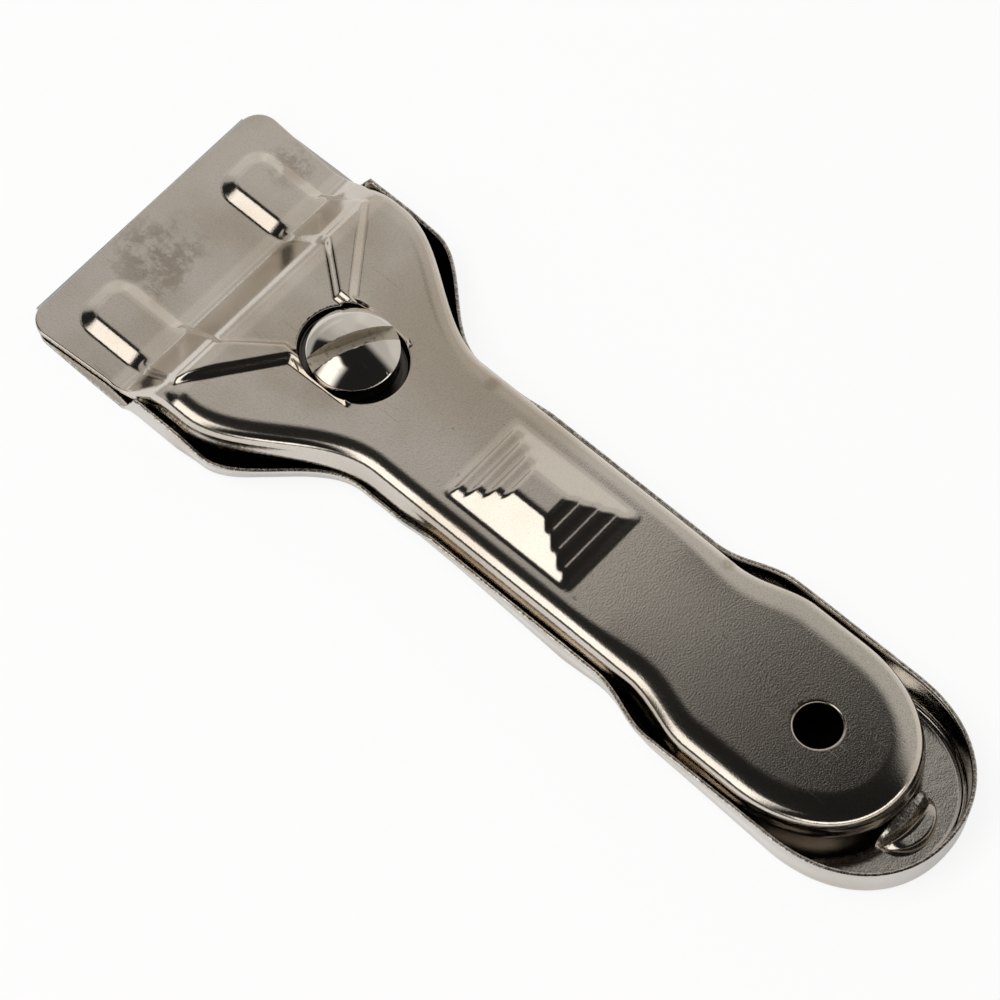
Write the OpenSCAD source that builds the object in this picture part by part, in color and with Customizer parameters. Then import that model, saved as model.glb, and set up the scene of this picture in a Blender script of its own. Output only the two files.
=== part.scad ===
// Razor scraper of two nested pressed shells.
// The cover slides back along the tray and bares a blade that the tray carries.
// X runs from the tail to the blade edge, Y across, Z up, and the tray's flat belly lies at Z = 0.
// Lengths are in millimetres, and each distance from the nose is taken with the cover closed.

/* [Overall] */
// Length of the tray from the front of its jaw to its tail
tray_l = 133; // [125:1:150]
// Height of the cover's flat top over the table
body_h = 8.7; // [8.4:0.1:9.6]
// Thickness of the pressed sheet
sheet_t = 0.75; // [0.7:0.05:0.85]
// Side gap between the nested shells
nest_gap = 0.3; // [0.2:0.05:0.4]
// How far the cover slides back
travel = 5; // [3:0.5:5]

/* [Cover outline] */
// Width of the cover's jaw at its front edge
jaw_w = 42.8; // [42:0.2:45]
// Width of the cover's head behind the jaw
head_w = 41.5; // [40:0.5:42]
// Width of the cover's neck
neck_w = 21.5; // [20:0.5:23]
// Width of the cover's grip
grip_w = 26.2; // [24:0.2:28]
// Distance from the nose to where the head starts to draw in
draw_d = 27; // [26:0.5:29]
// Length over which the head draws in to the neck
draw_l = 23; // [21:0.5:25]
// Distance from the cover's tail to where the grip starts to swell
swell_d = 35; // [32:0.5:38]
// Length over which the neck swells to the grip
swell_l = 11; // [9:0.5:13]
// Length of the rounded tail of each shell
tail_l = 16.5; // [14:0.5:18]
// Distance from the cover's tail to the tray's
tail_gap = 8; // [7:0.5:9]
// Depth of the cover from its top to its lower lip
skirt_h = 3.9; // [3.6:0.1:4]
// Radius of the cover's shoulder
shoulder_r = 1.8; // [1.5:0.1:2.2]

/* [Jaw] */
// Length of the flat jaw in front of the ramp
jaw_l = 16.3; // [15.8:0.1:17]
// Radius of the jaw's front corners
jaw_corner_r = 3; // [2.8:0.1:4]
// Length of the ramp from the jaw up to the top
ramp_l = 7.2; // [6.5:0.1:8]
// Gap between the blade and the cover's jaw
jaw_gap = 0.05; // [0.04:0.01:0.1]
// How far the lower jaw reaches past the upper one on each side
jaw_ledge = 0.2; // [0.1:0.05:0.3]

/* [Ribs] */
// Height that the beads and ribs stand above their surface
rib_h = 0.9; // [0.8:0.05:1.1]
// Width of a jaw bead
bead_w = 7.8; // [7:0.1:8.4]
// Distance between the centre lines of the two beads
bead_span = 25.8; // [24:0.1:27]
// Distance from the nose to the front of the beads
bead_d = 4.8; // [4.4:0.1:5.2]
// Radius of the beads' front corners
bead_corner_r = 2.6; // [1.5:0.1:3]
// Width of a rib where it reaches the top of the ramp
crest_w = 8.6; // [7.8:0.1:9]
// Distance that a rib runs past the middle of the screw
rib_run = 4.8; // [4:0.1:5]

/* [Clamp] */
// Distance from the nose to the screw
screw_d = 37.2; // [36.5:0.1:38]
// Diameter of the screw head
head_dia = 11.5; // [10.5:0.1:12]
// Height of the head's straight side
head_side_h = 2.8; // [2.2:0.1:3]
// Height of the head's dome above its side
dome_h = 2.3; // [1.8:0.1:2.6]
// Width of the driver slot
slot_w = 1.8; // [1.4:0.1:2.2]
// Depth of the driver slot below the top of the dome
slot_depth = 2.2; // [1.6:0.1:2.6]
// Direction of the driver slot from the long axis
slot_angle = 65; // [0:5:175]
// Diameter of the screw's shank
shank_dia = 6; // [5:0.1:6]
// Radial running gap between the shank and the nut
thread_gap = 0.05; // [0.03:0.01:0.08]
// Depth of the seat pressed into the cover
seat_depth = 1.4; // [1.2:0.1:1.6]
// How much longer the seat is than it is wide
seat_stretch = 3; // [2:0.2:3.4]
// Side gap round the screw head, the shank and the nut
clamp_gap = 0.3; // [0.25:0.05:0.4]
// Width across the flats of the square nut
nut_w = 10; // [9.5:0.1:10.5]
// Thickness of the nut
nut_h = 3.4; // [3:0.1:3.6]
// Distance that the nut backs off for one turn of the screw
thread_pitch = 1; // [0.8:0.05:1]

/* [Thumb rest] */
// Distance from the nose to the middle of the thumb rest
thumb_d = 68.5; // [64:0.5:72]
// Length of the thumb rest
thumb_l = 20; // [18:0.5:24]
// Width of the thumb rest
thumb_w = 12.7; // [11:0.1:14]
// Height of the thumb rest
thumb_h = 2.7; // [2:0.1:3]
// Length of the small flat on its top
thumb_top_l = 4; // [3:0.2:5]
// Width of the small flat on its top
thumb_top_w = 3; // [2.6:0.2:4]

/* [Tail] */
// Distance from the cover's tail to the middle of the hanging hole
hang_d = 13.5; // [12:0.5:16]
// Diameter of the hanging hole
hang_dia = 6.2; // [5:0.1:7]
// Distance from the tray's tail to the straight face of the catch
catch_d = 8.5; // [8:0.1:9]
// Radius of the half-round catch on the floor
catch_r = 4.6; // [4:0.1:5]
// Height of the catch above the floor
catch_h = 3.2; // [2.6:0.1:3.3]

/* [Tray] */
// Height of the tray's rim along the grip
rim_h = 6.2; // [5.8:0.1:6.4]
// Height of the rim along the neck
neck_rim_h = 5.6; // [5.2:0.1:6]
// Height of the rim beside the head
head_rim_h = 5; // [4.9:0.1:5.4]
// Height of the rim where the head passes over it
low_rim_h = 4.3; // [4:0.05:4.3]
// Radius between the belly and the walls
belly_r = 1.2; // [1:0.1:1.5]
// Distance from the nose to where the walls rise behind the jaw
wall_d = 17.5; // [17.2:0.1:18]

/* [Blade] */
// Width of the blade
blade_w = 38; // [36:0.5:39]
// Depth of the blade from its edge to its back
blade_l = 20; // [18:0.5:21]
// Thickness of the blade
blade_t = 0.3; // [0.25:0.05:0.35]
// Length of the ground edge
bevel_l = 1.2; // [0.8:0.1:1.6]
// How far the edge stands in front of the closed cover
blade_show = 0.35; // [0.2:0.05:0.5]
// How far the edge stands in front of the lower jaw
blade_lead = 1.35; // [1:0.05:1.8]
// Distance from the nose to the studs that hold the blade
stud_d = 14; // [13.5:0.1:14.2]
// Diameter of the studs
stud_dia = 3; // [2.6:0.1:3.2]
// Height that the studs stand above the blade
stud_h = 0.4; // [0.3:0.05:0.5]
// Radial gap between a stud and the blade
stud_gap = 0.1; // [0.05:0.05:0.2]

/* [Hidden] */
$fn = 96;
// One overrun serves all cuts
cut = 1;
arc_steps = 4;
edge_steps = 3;
curve_steps = 7;
tail_steps = 9;
thumb_steps = 4;
// Share of a rounding step at which its plate meets the true curve
mid_share = 0.5;
// Share of each thumb-rest step that is its riser
riser_share = 0.45;
// Shares of a rib's crest that lie outside and inside the line of its bead
crest_out_share = 0.6;
crest_in_share = 0.4;
// Share of the slide by which the tray swells in front of the cover
swell_lead_share = 0.8;

// Places along the tool
overall_l = tray_l + blade_lead;
nose_x = overall_l / 2 - blade_show;
tray_end_d = overall_l - blade_show;
tray_front_d = blade_lead - blade_show;
cover_end_d = tray_end_d - tail_gap;
function back(d) = nose_x - d;

// Heights
jaw_low = sheet_t + blade_t + jaw_gap;
jaw_top = jaw_low + sheet_t;
ramp_rise = body_h - jaw_top;
lip_z = body_h - skirt_h;
// Shift of a fold from one face of the sheet to the other
fold_shift = sheet_t * tan(atan2(ramp_rise, ramp_l) / 2);
fold_d = jaw_l + fold_shift;
crest_d = jaw_l + ramp_l;

// The tray stands outside the cover, and draws in later and swells earlier to leave room for the slide
wall_offset = nest_gap + sheet_t;
draw_lag = travel + nest_gap;
swell_lead = travel * swell_lead_share;

// Outline of a shell: front, half widths of jaw, head, neck and grip, then the places of its curves
cover_plan = [0, jaw_w / 2, head_w / 2, neck_w / 2, grip_w / 2,
    draw_d, draw_l, cover_end_d - swell_d, swell_l, tail_l, cover_end_d];
tray_plan = [tray_front_d, jaw_w / 2 + jaw_ledge, head_w / 2 + wall_offset,
    neck_w / 2 + wall_offset, grip_w / 2 + wall_offset,
    draw_d + draw_lag, draw_l - draw_lag - 2 * nest_gap,
    cover_end_d - swell_d - swell_lead, swell_l - nest_gap, tail_l, tray_end_d];

function ease(t) = t <= 0 ? 0 : t >= 1 ? 1 : (1 - cos(180 * t)) / 2;
function half_width(p, d) =
    p[2] + (p[1] - p[2]) * max(0, 1 - max(0, d - p[0] - jaw_corner_r) / (jaw_l - 2 * jaw_corner_r))
    + (p[3] - p[2]) * ease((d - p[5]) / p[6])
    + (p[4] - p[3]) * ease((d - p[7]) / p[8]);
function side_points(p) = concat(
    [for (i = [0:arc_steps]) let (a = 90 * i / arc_steps)
        [back(p[0] + jaw_corner_r * (1 - cos(a))), p[1] - jaw_corner_r * (1 - sin(a))]],
    [for (d = [jaw_l - jaw_corner_r, jaw_l]) [back(d), half_width(p, d)]],
    [for (i = [0:curve_steps]) let (d = p[5] + p[6] * i / curve_steps) [back(d), half_width(p, d)]],
    [for (i = [0:curve_steps]) let (d = p[7] + p[8] * i / curve_steps) [back(d), half_width(p, d)]],
    [for (i = [0:tail_steps]) let (a = 90 * i / tail_steps, d = p[10] - p[9])
        [back(d + p[9] * sin(a)), half_width(p, d) * cos(a)]]);
// The far side mirrors the near one, without the point at the tail's tip
function outline(p) = let (near = side_points(p), n = len(near))
    concat(near, [for (i = [n - 2:-1:0]) [near[i][0], -near[i][1]]]);
cover_outline = outline(cover_plan);
tray_outline = outline(tray_plan);

// Moves a closed outline inwards and keeps its edges parallel
function edge_normal(a, b) = let (v = (b - a) / norm(b - a)) [-v[1], v[0]];
function inset(pts, e) = let (n = len(pts))
    [for (i = [0:n - 1])
        let (u = edge_normal(pts[(i + n - 1) % n], pts[i]), v = edge_normal(pts[i], pts[(i + 1) % n]))
        pts[i] + (u + v) * e / (1 + u * v)];

module plate(pts, low, high) {
    translate([0, 0, low])
        linear_extrude(high - low)
            polygon(pts);
}

// Side view given as distances from the nose and heights, wider than any shell
module side_slab(view) {
    translate([0, jaw_w, 0])
        rotate([90, 0, 0])
            linear_extrude(2 * jaw_w)
                polygon([for (p = view) [back(p[0]), p[1]]]);
}

// Round-ended hole or plug along the slide, centred at a distance from the nose
module long_hole(d, stretch, r, low, high) {
    for (s = [-1, 1])
        translate([back(d) + s * stretch / 2, 0, low])
            cylinder(r = r, h = high - low);
    translate([back(d) - stretch / 2, -r, low])
        cube([stretch, 2 * r, high - low]);
}

// Cover

// Plate whose upper edge is rounded in a few fine steps, as plates nested one in the other
module rounded_top(pts, top, r) {
    plate(pts, -cut, top - r);
    for (i = [1:edge_steps])
        plate(inset(pts, r * (1 - cos(90 * (i - mid_share) / edge_steps))),
            -cut, top - r + r * sin(90 * i / edge_steps));
}

module cover_block() {
    intersection() {
        rounded_top(cover_outline, body_h, shoulder_r);
        side_slab([
            [-cut, jaw_low], [-cut, jaw_top], [jaw_l, jaw_top],
            [jaw_l + 2 * ramp_l, jaw_top + 2 * ramp_rise],
            [cover_end_d + cut, jaw_top + 2 * ramp_rise], [cover_end_d + cut, lip_z],
            [crest_d, lip_z], [fold_d, jaw_low]]);
    }
}

module cover_hollow() {
    intersection() {
        rounded_top(inset(cover_outline, sheet_t), body_h - sheet_t, shoulder_r - sheet_t);
        side_slab([
            [fold_d, jaw_low], [fold_d + 2 * ramp_l, jaw_low + 2 * ramp_rise],
            [cover_end_d + cut, jaw_low + 2 * ramp_rise], [cover_end_d + cut, -2 * cut],
            [fold_d, -2 * cut]]);
    }
}

// Plan of one bead and of the rib that carries it on to the screw, drawn in by the given wall
rib_half_w = head_dia / 2 + clamp_gap + sheet_t;
rib_end_d = screw_d + rib_run;
rib_turn_d = screw_d - head_dia / 2;
function rib_plan(wall) = let (
        y = bead_span / 2, w = bead_w / 2 - wall, r = bead_corner_r - wall / 2,
        front = bead_d + wall, slant = wall * sqrt(2))
    concat(
        [for (i = [0:arc_steps]) let (a = 90 * i / arc_steps)
            [front + r * (1 - sin(a)), y - w + r * (1 - cos(a))]],
        [for (i = [arc_steps:-1:0]) let (a = 90 * i / arc_steps)
            [front + r * (1 - sin(a)), y + w - r * (1 - cos(a))]],
        [[jaw_l, y + w], [crest_d, y + crest_w * crest_out_share - slant],
            [rib_turn_d, rib_half_w - wall], [rib_end_d - wall, rib_half_w - wall],
            [rib_end_d - wall, wall], [rib_turn_d, wall],
            [crest_d, y - crest_w * crest_in_share + slant], [jaw_l, y - w]]);

// Both ribs, up to a side view whose upper face stands at the given height over the shell's own
module rib_pair(wall, lift, shift, base) {
    for (s = [0, 1])
        mirror([0, s, 0])
            intersection() {
                plate([for (p = rib_plan(wall)) [back(p[0]), p[1]]], 0, 2 * body_h);
                side_slab(concat(
                    [[0, jaw_low - base], [0, jaw_top + lift], [jaw_l + shift, jaw_top + lift],
                        [crest_d + shift, body_h + lift], [cover_end_d, body_h + lift]],
                    [[cover_end_d, body_h - sheet_t - base], [fold_d + ramp_l, body_h - sheet_t - base],
                        [fold_d, jaw_low - base]]));
            }
}

seat_r = head_dia / 2 + clamp_gap;
seat_floor = body_h - seat_depth;

// Stepped thumb rest: risers on its front and back, smooth slopes on its sides
module thumb_block(wall, low) {
    half_l = thumb_l / 2 - wall;
    half_w = thumb_w / 2 - wall;
    top_half_w = thumb_top_w / 2 - wall / 2;
    run = (half_l - thumb_top_l / 2) / thumb_steps;
    rise = thumb_h / thumb_steps;
    front = [for (i = [0:thumb_steps - 1], k = [0, 1])
        [thumb_d - half_l + run * (i + k * riser_share), low + rise * (i + k)]];
    rear = [for (i = [len(front) - 1:-1:0]) [2 * thumb_d - front[i][0], front[i][1]]];
    intersection() {
        side_slab(concat([[thumb_d - half_l, low - sheet_t]], front, rear,
            [[thumb_d + half_l, low - sheet_t]]));
        translate([back(thumb_d + half_l), 0, low])
            rotate([90, 0, 90])
                linear_extrude(2 * half_l)
                    polygon([[-half_w, -sheet_t], [half_w, -sheet_t], [half_w, 0],
                        [top_half_w, thumb_h], [-top_half_w, thumb_h], [-half_w, 0]]);
    }
}

module cover_shell() {
    difference() {
        union() {
            cover_block();
            rib_pair(0, rib_h, 0, 0);
            thumb_block(0, body_h);
        }
        cover_hollow();
        rib_pair(sheet_t, rib_h - sheet_t, fold_shift, cut);
        thumb_block(sheet_t, body_h - sheet_t);
    }
}

module cover() {
    color("silver")
        difference() {
            union() {
                cover_shell();
                long_hole(screw_d, seat_stretch, seat_r + sheet_t, seat_floor - sheet_t, body_h);
            }
            long_hole(screw_d, seat_stretch, seat_r, seat_floor, body_h + rib_h + cut);
            translate([back(screw_d), 0, seat_floor - sheet_t - cut])
                cylinder(r = shank_dia / 2 + clamp_gap, h = sheet_t + 2 * cut);
            translate([back(cover_end_d - hang_d), 0, lip_z])
                cylinder(d = hang_dia, h = skirt_h + cut);
        }
}

// Tray

// Pan whose lower edge is rounded in a few fine steps, in the same way
module tray_pan(wall, floor_z, r) {
    pts = inset(tray_outline, wall);
    for (i = [1:edge_steps])
        plate(inset(pts, r * (1 - sin(90 * (i - mid_share) / edge_steps))),
            floor_z + r * (1 - cos(90 * (i - 1) / edge_steps)), 2 * body_h);
    plate(pts, floor_z + r, 2 * body_h);
}

// Side view of the walls: up behind the jaw, low where the head slides over, full height at the grip
rim_view = [
    [wall_d, -cut], [wall_d, sheet_t], [wall_d + head_rim_h / 2, head_rim_h],
    [draw_d, head_rim_h], [draw_d + travel, low_rim_h],
    [draw_d + draw_l + travel, low_rim_h], [draw_d + draw_l + 2 * travel, neck_rim_h],
    [cover_end_d - swell_d - swell_lead, neck_rim_h], [cover_end_d - swell_d + swell_l, rim_h],
    [tray_end_d + cut, rim_h], [tray_end_d + cut, -cut]];

// Raised channel that holds the square nut from turning while it slides
channel_d = screw_d + travel / 2;
channel_top = seat_floor - sheet_t - nest_gap;
nut_top = channel_top - sheet_t;
module channel(wall, low, high) {
    l = nut_w + travel + 2 * clamp_gap + 2 * wall;
    w = nut_w + 2 * clamp_gap + 2 * wall;
    translate([back(channel_d) - l / 2, -w / 2, low])
        cube([l, w, high - low]);
}

// Half-round catch lanced out of the floor, open towards the cover
catch_x = catch_d - overall_l / 2;
catch_sphere_r = (pow(catch_r, 2) + pow(catch_h, 2)) / (2 * catch_h);
module catch_dome(wall, overrun) {
    intersection() {
        translate([catch_x, 0, sheet_t + catch_h - catch_sphere_r])
            sphere(r = catch_sphere_r - wall);
        translate([catch_x - catch_r, -catch_r, -overrun])
            cube([catch_r + overrun, 2 * catch_r, sheet_t + catch_h + 2 * overrun]);
    }
}

module tray() {
    color("gainsboro")
        difference() {
            union() {
                intersection() {
                    plate(tray_outline, 0, sheet_t);
                    side_slab([[0, -cut], [0, body_h], [wall_d + sheet_t, body_h], [wall_d + sheet_t, -cut]]);
                }
                difference() {
                    intersection() {
                        tray_pan(0, 0, belly_r);
                        side_slab(rim_view);
                    }
                    tray_pan(sheet_t, sheet_t, belly_r - sheet_t);
                }
                channel(sheet_t, 0, channel_top);
                catch_dome(0, 0);
            }
            channel(0, -cut, nut_top);
            long_hole(channel_d, travel, shank_dia / 2 + clamp_gap, nut_top - cut, channel_top + cut);
            catch_dome(sheet_t, cut);
            for (s = [-1, 1])
                translate([back(stud_d), s * bead_span / 2, -cut])
                    cylinder(d = stud_dia, h = sheet_t + 2 * cut);
        }
}

// Blade and its studs

module razor_blade() {
    color("slategray")
        difference() {
            translate([0, blade_w / 2, sheet_t])
                rotate([90, 0, 0])
                    linear_extrude(blade_w)
                        polygon([
                            [back(-blade_show), blade_t / 2], [back(bevel_l - blade_show), blade_t],
                            [back(blade_l - blade_show), blade_t], [back(blade_l - blade_show), 0],
                            [back(bevel_l - blade_show), 0]]);
            for (s = [-1, 1])
                translate([back(stud_d), s * bead_span / 2, 0])
                    cylinder(r = stud_dia / 2 + stud_gap, h = body_h);
        }
}

module blade_studs() {
    color("lightgray")
        for (s = [-1, 1])
            translate([back(stud_d), s * bead_span / 2, 0])
                cylinder(d = stud_dia, h = sheet_t + blade_t + stud_h);
}

// Screw and nut

shank_low = nut_top - nut_h - thread_pitch;
head_rim_z = seat_floor + head_side_h;
dome_sphere_r = (pow(head_dia / 2, 2) + pow(dome_h, 2)) / (2 * dome_h);
module clamp_screw() {
    color("lightsteelblue")
        translate([back(screw_d), 0, 0])
            difference() {
                union() {
                    translate([0, 0, shank_low])
                        cylinder(d = shank_dia, h = head_rim_z - shank_low);
                    translate([0, 0, seat_floor])
                        cylinder(d = head_dia, h = head_side_h);
                    intersection() {
                        translate([0, 0, head_rim_z + dome_h - dome_sphere_r])
                            sphere(r = dome_sphere_r);
                        translate([0, 0, head_rim_z])
                            cylinder(d = head_dia, h = dome_h + cut);
                    }
                }
                translate([0, 0, head_rim_z + dome_h - slot_depth])
                    rotate([0, 0, slot_angle])
                        translate([-head_dia, -slot_w / 2, 0])
                            cube([2 * head_dia, slot_w, slot_depth + cut]);
            }
}

module clamp_nut() {
    color("darkgray")
        difference() {
            translate([back(screw_d) - nut_w / 2, -nut_w / 2, nut_top - nut_h])
                cube([nut_w, nut_w, nut_h]);
            translate([back(screw_d), 0, 0])
                cylinder(r = shank_dia / 2 + thread_gap, h = body_h);
        }
}

tray();
cover();
razor_blade();
blade_studs();
clamp_screw();
clamp_nut();
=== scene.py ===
import math
import bmesh
import bpy
import numpy as np
from mathutils import Matrix, Vector


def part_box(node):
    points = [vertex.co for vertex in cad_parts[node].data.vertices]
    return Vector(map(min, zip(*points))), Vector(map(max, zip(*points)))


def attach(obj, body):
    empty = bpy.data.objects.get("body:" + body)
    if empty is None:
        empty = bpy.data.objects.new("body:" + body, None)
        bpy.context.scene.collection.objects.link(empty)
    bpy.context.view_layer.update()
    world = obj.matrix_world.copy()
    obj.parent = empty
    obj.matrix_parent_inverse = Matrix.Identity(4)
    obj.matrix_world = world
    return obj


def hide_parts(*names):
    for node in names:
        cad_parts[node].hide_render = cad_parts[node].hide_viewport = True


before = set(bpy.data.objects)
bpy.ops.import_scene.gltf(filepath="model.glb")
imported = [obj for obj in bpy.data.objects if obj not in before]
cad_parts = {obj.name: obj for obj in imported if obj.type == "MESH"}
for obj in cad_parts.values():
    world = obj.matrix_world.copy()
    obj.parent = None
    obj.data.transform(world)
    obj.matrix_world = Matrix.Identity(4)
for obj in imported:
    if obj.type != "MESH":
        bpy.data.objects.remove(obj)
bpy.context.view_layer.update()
mm = 0.001
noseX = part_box("cover")[1][0] / mm  # front edge of the closed cover; places are counted back from it
print("frame loaded")


class Wire:
    # one socket, so that shader maths reads as Python

    def __init__(self, maker, socket):
        self.maker, self.socket = maker, socket

    def join(self, operation, a, b):
        return self.maker.node("ShaderNodeMath", {"operation": operation}, {0: a, 1: b})

    def __add__(self, other):
        return self.join("ADD", self, other)

    def __radd__(self, other):
        return self.join("ADD", other, self)

    def __sub__(self, other):
        return self.join("SUBTRACT", self, other)

    def __rsub__(self, other):
        return self.join("SUBTRACT", other, self)

    def __mul__(self, other):
        return self.join("MULTIPLY", self, other)

    def __rmul__(self, other):
        return self.join("MULTIPLY", other, self)

    def most(self, other):
        return self.join("MAXIMUM", self, other)

    def step(self, low, high):
        # smooth 0 to 1 between two values, which may be given high first
        if low > high:
            return 1.0 - self.step(high, low)
        return self.maker.node("ShaderNodeMapRange", {"interpolation_type": "SMOOTHSTEP"},
                               {"Value": self, "From Min": low, "From Max": high})


class Maker:
    def __init__(self, tree):
        self.tree = tree
        tree.nodes.clear()

    def node(self, kind, settings=None, sockets=None, out=0):
        made = self.tree.nodes.new(kind)
        for key, value in (settings or {}).items():
            setattr(made, key, value)
        for key, value in (sockets or {}).items():
            if isinstance(value, Wire):
                self.tree.links.new(value.socket, made.inputs[key])
            else:
                made.inputs[key].default_value = value
        return Wire(self, made.outputs[out]) if len(made.outputs) else None

    def mix(self, share, a, b):
        a, b = (colour + (1.0,) if isinstance(colour, tuple) else colour for colour in (a, b))
        return self.node("ShaderNodeMix", {"data_type": "RGBA"}, {0: share, 6: a, 7: b}, out=2)

    def split(self, vector):
        made = self.tree.nodes.new("ShaderNodeSeparateXYZ")
        self.tree.links.new(vector.socket, made.inputs[0])
        return [Wire(self, made.outputs[i]) for i in range(3)]

    def place(self):
        return self.node("ShaderNodeTexCoord", out=3)  # object coordinates: the part's own frame, in metres

    def noise(self, vector, scale, detail=2.0, roughness=0.5):
        return self.node("ShaderNodeTexNoise", None,
                         {"Vector": vector, "Scale": scale, "Detail": detail, "Roughness": roughness})

    def stretched(self, vector, scale, turn=0.0):
        return self.node("ShaderNodeMapping", None,
                         {"Vector": vector, "Rotation": (0.0, 0.0, math.radians(turn)), "Scale": scale})

    def length(self, x, y):
        flat = self.node("ShaderNodeCombineXYZ", None, {0: x, 1: y, 2: 0.0})
        return self.node("ShaderNodeVectorMath", {"operation": "LENGTH"}, {0: flat}, out=1)

    def bump(self, height, strength, depth):
        return self.node("ShaderNodeBump", None,
                         {"Height": height, "Strength": strength, "Distance": depth * mm})

    def finish(self, colour, metallic, roughness, normal):
        shader = self.node("ShaderNodeBsdfPrincipled", None, {
            "Base Color": colour, "Metallic": metallic, "Roughness": roughness, "Normal": normal})
        self.node("ShaderNodeOutputMaterial", None, {0: shader})


def material(name):
    made = bpy.data.materials.new(name)
    made.use_nodes = True
    return made, Maker(made.node_tree)


studio = {
    "azimuth": 221.344, "elevation": 62.982, "roll": 0.565, "distance": 528.0,
    "aim": (-3.175, 0.0, 8.7), "shift": (-6.222, 1.450), "focal": 155.88, "sensor": 36.0,
    "floorColour": (0.86, 0.86, 0.86, 1.0), "floorShare": 0.88, "floorInMetal": 0.36, "floorHalf": 3.0,
    "floorDrop": 0.03, "near": 0.01, "far": 20.0, "white": (1.0, 1.0, 1.0, 1.0),
    "lampPlace": (0.15, 0.25, 0.7), "lampSize": 0.6, "lampPower": 4.0,
}


def makeCamera():
    az, el, roll = (math.radians(studio[k]) for k in ("azimuth", "elevation", "roll"))
    back = np.array([math.sin(az) * math.cos(el), -math.cos(az) * math.cos(el), math.sin(el)])
    right = np.array([math.cos(az), math.sin(az), 0.0])
    up = np.cross(back, right)
    across = right * math.cos(roll) + up * math.sin(roll)
    upward = up * math.cos(roll) - right * math.sin(roll)
    place = (np.array(studio["aim"]) + across * studio["shift"][0] + upward * studio["shift"][1]
             + back * studio["distance"]) * mm
    data = bpy.data.cameras.new("camera")
    data.sensor_fit, data.sensor_width, data.lens = "HORIZONTAL", studio["sensor"], studio["focal"]
    data.clip_start, data.clip_end = studio["near"], studio["far"]
    camera = bpy.data.objects.new("camera", data)
    bpy.context.scene.collection.objects.link(camera)
    camera.matrix_world = Matrix([[across[i], upward[i], back[i], place[i]] for i in range(3)]
                                 + [[0, 0, 0, 1]])
    bpy.context.scene.camera = camera


# how bright the plated surfaces see the room: its walls, its dark gap, a screen on +Y and a window at the tail
room = {
    "wall": 0.50, "farWall": 0.62, "screen": 1.6, "gap": 0.018, "horizon": 0.10, "window": 1.8,
    "farLow": 0.14, "noseLow": 0.12, "noseBand": 0.12, "slant": 0.15, "colour": (1.0, 0.965, 0.915, 1.0),
}
# each zone of the room by direction: along an axis, the value where it starts and the value where it is full
zones = {
    "overhead": [("slant", -0.335, -0.20), ("z", 0.80, 0.88)],
    "tailSide": [("x", 0.281, 0.223), ("z", 0.03, 0.14), ("y", -0.62, -0.40)],
    "noseSide": [("x", 0.42, 0.54), ("y", -0.06, 0.08), ("z", 0.20, 0.34)],
    "screen": [("y", 0.21, 0.30), ("z", 0.31, 0.39), ("z", 0.95, 0.91), ("x", -0.16, 0.14), ("x", 0.62, 0.38)],
    "tailWindow": [("x", -0.34, -0.46)],
    "sideWindow": [("x", 0.08, -0.06), ("y", 0.30, 0.45)],
    "windowBand": [("y", 0.95, 0.85), ("y", -0.50, -0.40), ("z", 0.39, 0.31), ("z", 0.10, 0.18)],
    "horizon": [("y", 0.55, 0.75), ("z", 0.40, 0.32), ("z", 0.02, 0.08)],
    "farWall": [("y", -0.1, -0.5)],
    "farLow": [("y", -0.66, -0.82), ("z", 0.55, 0.42)],
    "noseLow": [("x", 0.76, 0.88), ("z", 0.34, 0.29), ("z", 0.14, 0.21), ("y", 0.0, -0.2)],
    "noseBand": [("x", 0.44, 0.60), ("x", 0.94, 0.78), ("y", -0.1, -0.3)],
}


def makeWorld():
    world = bpy.data.worlds.new("studio")
    bpy.context.scene.world = world
    world.use_nodes = True
    m = Maker(world.node_tree)
    x, y, z = m.split(m.node("ShaderNodeTexCoord", out=0))
    ways = {"x": x, "y": y, "z": z, "slant": y - x * room["slant"]}

    def zone(name):
        share = 1.0
        for way, start, full in zones[name]:
            share = ways[way].step(start, full) * share
        return share

    dark = zone("overhead").most(zone("tailSide")).most(zone("noseSide"))
    window = zone("tailWindow").most(zone("sideWindow")) * zone("windowBand")
    light = room["wall"] + (room["farWall"] - room["wall"]) * zone("farWall")
    light = light + zone("farLow") * room["farLow"] + zone("noseLow") * room["noseLow"]
    light = light * (1.0 + room["noseBand"] * zone("noseBand"))
    for share, level in ((dark, "gap"), (zone("horizon"), "horizon"), (zone("screen"), "screen"),
                         (window, "window")):
        light = light * (1.0 - share) + share * room[level]
    camera = m.node("ShaderNodeLightPath", out=0)
    glow = m.node("ShaderNodeBackground", None, {"Color": room["colour"], "Strength": light})
    white = m.node("ShaderNodeBackground", None, {"Color": studio["white"], "Strength": 1.0})
    both = m.node("ShaderNodeMixShader", None, {0: camera, 1: glow, 2: white})
    m.node("ShaderNodeOutputWorld", None, {0: both})


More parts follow.
